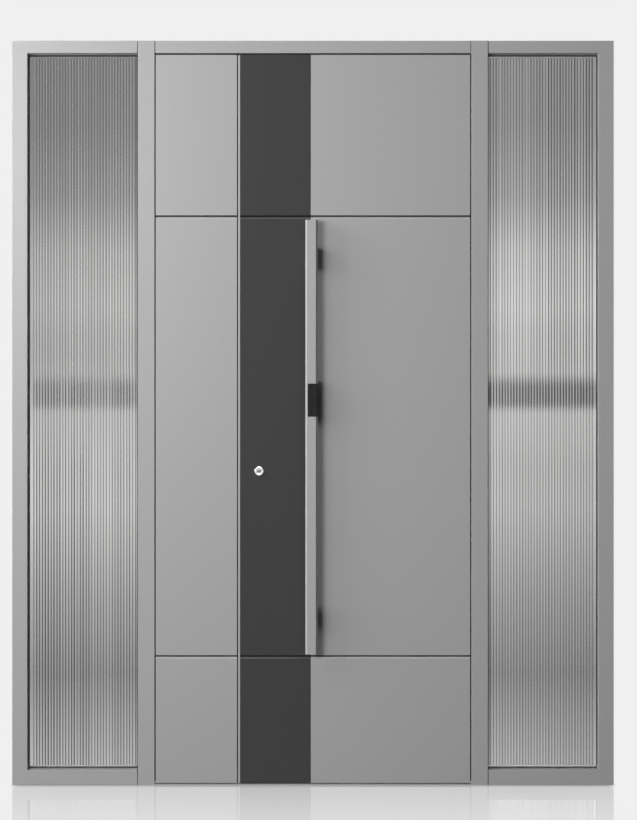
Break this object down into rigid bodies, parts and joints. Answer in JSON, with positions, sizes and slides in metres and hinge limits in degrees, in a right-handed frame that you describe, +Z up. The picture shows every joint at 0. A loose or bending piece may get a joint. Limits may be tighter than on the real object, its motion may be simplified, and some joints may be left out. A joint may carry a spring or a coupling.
{
  "type": "front door with sidelights",
  "caption": "Grey aluminium front door with a dark vertical strip, a long pull bar holding a fingerprint reader, and fluted glass sidelights.",
  "frame": {"origin": "middle of the threshold's underside, at ground level, halfway through the frame's depth", "axes": "+X to the right seen from outside, +Y inward through the doorway, +Z up; the outside faces -Y"},
  "size_m": [1.94, 0.215, 2.4],
  "materials": {
    "grey_coat": "fine-textured grey powder coat on aluminium",
    "anthracite_coat": "satin anthracite coat on aluminium",
    "handle_coat": "fine satin grey coat on aluminium",
    "glass": "clear, fluted on the outside",
    "black_plastic": "matt",
    "black_rubber": "matt",
    "brushed_steel": "brushed",
    "polished_steel": "polished"
  },
  "bodies": {
    "frame": {"left_jamb": "grey_coat", "right_jamb": "grey_coat", "left_mullion": "grey_coat", "right_mullion": "grey_coat", "left_head_rail": "grey_coat", "door_head_rail": "grey_coat", "right_head_rail": "grey_coat", "left_sill_rail": "grey_coat", "right_sill_rail": "grey_coat", "frame_thermal_breaks": "black_plastic", "threshold": "grey_coat", "left_fluted_pane": "glass", "right_fluted_pane": "glass", "left_inner_pane": "glass", "right_inner_pane": "glass", "glass_spacers": "black_plastic", "outer_glazing_gaskets": "black_rubber", "inner_glazing_gaskets": "black_rubber", "left_glazing_beads": "grey_coat", "right_glazing_beads": "grey_coat", "door_seals": "black_rubber", "strike_plates": "brushed_steel", "frame_hinge_halves": "handle_coat"},
    "leaf": {"left_face_panel": "grey_coat", "accent_trim": "grey_coat", "accent_strip": "anthracite_coat", "right_face_panel": "grey_coat", "leaf_outer_skin": "black_plastic", "leaf_lock_stile": "grey_coat", "leaf_hinge_stile": "grey_coat", "leaf_top_rail": "grey_coat", "leaf_bottom_rail": "grey_coat", "leaf_thermal_breaks": "black_plastic", "inner_face_panel": "grey_coat", "pull_bar": "handle_coat", "pull_bar_posts": "handle_coat", "fingerprint_reader": "black_plastic", "lock_rosettes": "polished_steel", "lock_plugs": "brushed_steel", "inner_lever_rosette": "brushed_steel", "inner_lever": "brushed_steel", "lock_forend": "brushed_steel", "lock_bolts": "brushed_steel", "leaf_hinge_halves": "handle_coat"}
  },
  "joints": [
    {"name": "leaf_swing", "type": "hinge", "parent": "frame", "child": "leaf", "pos_m": [0.5255, 0.057, 0], "axis": [0, 0, -1], "range_deg": [0, 100]}
  ]
}
